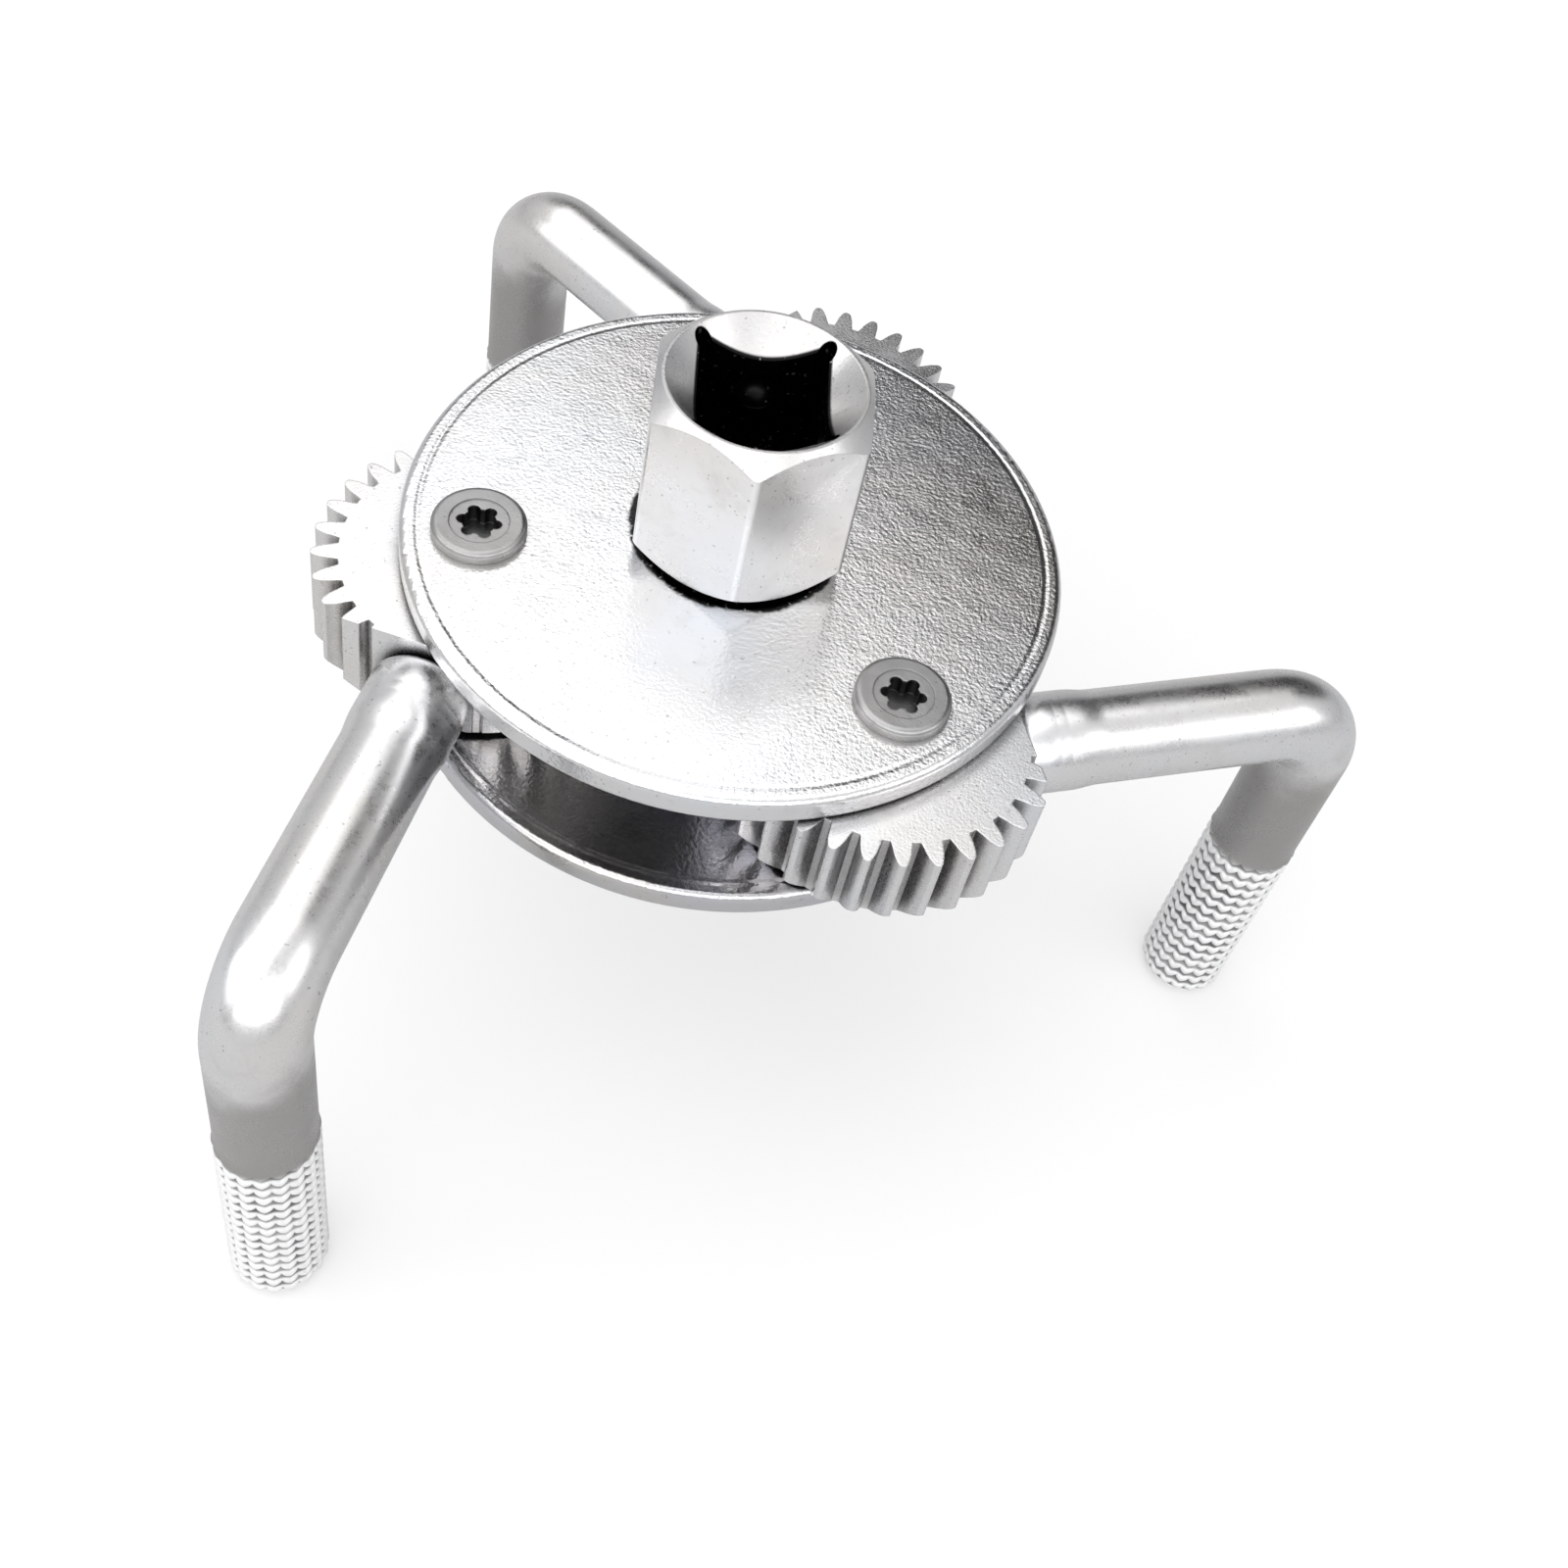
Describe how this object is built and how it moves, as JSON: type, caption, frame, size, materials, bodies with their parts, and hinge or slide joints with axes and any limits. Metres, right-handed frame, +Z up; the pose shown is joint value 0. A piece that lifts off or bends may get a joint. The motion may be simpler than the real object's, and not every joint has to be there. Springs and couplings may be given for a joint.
{
  "type": "oil filter wrench",
  "caption": "Geared oil filter wrench: bent round-rod jaws pivot between two round plates and close as the hexagonal square-drive socket turns the sun gear.",
  "frame": {"origin": "on the drive axis, in the plane of the jaws' lower ends, where the oil filter enters", "axes": "+Z up along the drive axis, out of the square drive's mouth; -Y towards the side the wrench is usually seen from; jaw pivots 1 to 3 at -45, 75 and 195 degrees from +X"},
  "size_m": [0.086, 0.0947, 0.0632],
  "materials": {
    "plate_zinc": "bright zinc plate with a fine satin grain",
    "drive_zinc": "bright zinc plate over turned and broached steel",
    "gear_zinc": "bright zinc plate over machined teeth",
    "rod_zinc": "bright zinc plate, smooth rod with a knurled jaw",
    "screw_steel": "mid-grey plated steel",
    "inner_steel": "plain machined steel",
    "spring_steel": "dark phosphated spring steel"
  },
  "bodies": {
    "housing": {"top_plate": "plate_zinc", "bottom_plate": "plate_zinc", "pivot_post_1": "inner_steel", "pivot_post_2": "inner_steel", "pivot_post_3": "inner_steel", "pivot_screw_1": "screw_steel", "pivot_screw_2": "screw_steel", "pivot_screw_3": "screw_steel", "arm_washer_1": "inner_steel", "arm_washer_2": "inner_steel", "arm_washer_3": "inner_steel"},
    "drive": {"drive_socket": "drive_zinc", "sun_gear": "gear_zinc", "thrust_washer": "inner_steel", "keeper_washer": "inner_steel", "retaining_ring": "spring_steel"},
    "arm_1": {"gear_head_1": "gear_zinc", "arm_rod_1": "rod_zinc"},
    "arm_2": {"gear_head_2": "gear_zinc", "arm_rod_2": "rod_zinc"},
    "arm_3": {"gear_head_3": "gear_zinc", "arm_rod_3": "rod_zinc"}
  },
  "joints": [
    {"name": "drive_turn", "type": "hinge", "parent": "housing", "child": "drive", "pos_m": [0, 0, 0.04], "axis": [0, 0, 1], "range_deg": [-74.2, 262.8]},
    {"name": "arm_1_swing", "type": "hinge", "parent": "housing", "child": "arm_1", "pos_m": [0.01414, -0.01414, 0.04], "axis": [0, 0, 1], "range_deg": [-184, 52]},
    {"name": "arm_2_swing", "type": "hinge", "parent": "housing", "child": "arm_2", "pos_m": [0.00518, 0.01932, 0.04], "axis": [0, 0, 1], "range_deg": [-184, 52]},
    {"name": "arm_3_swing", "type": "hinge", "parent": "housing", "child": "arm_3", "pos_m": [-0.01932, -0.00518, 0.04], "axis": [0, 0, 1], "range_deg": [-184, 52]}
  ],
  "couplings": [
    {"joint": "arm_1_swing", "follows": "drive_turn", "ratio": -0.7},
    {"joint": "arm_2_swing", "follows": "drive_turn", "ratio": -0.7},
    {"joint": "arm_3_swing", "follows": "drive_turn", "ratio": -0.7}
  ]
}
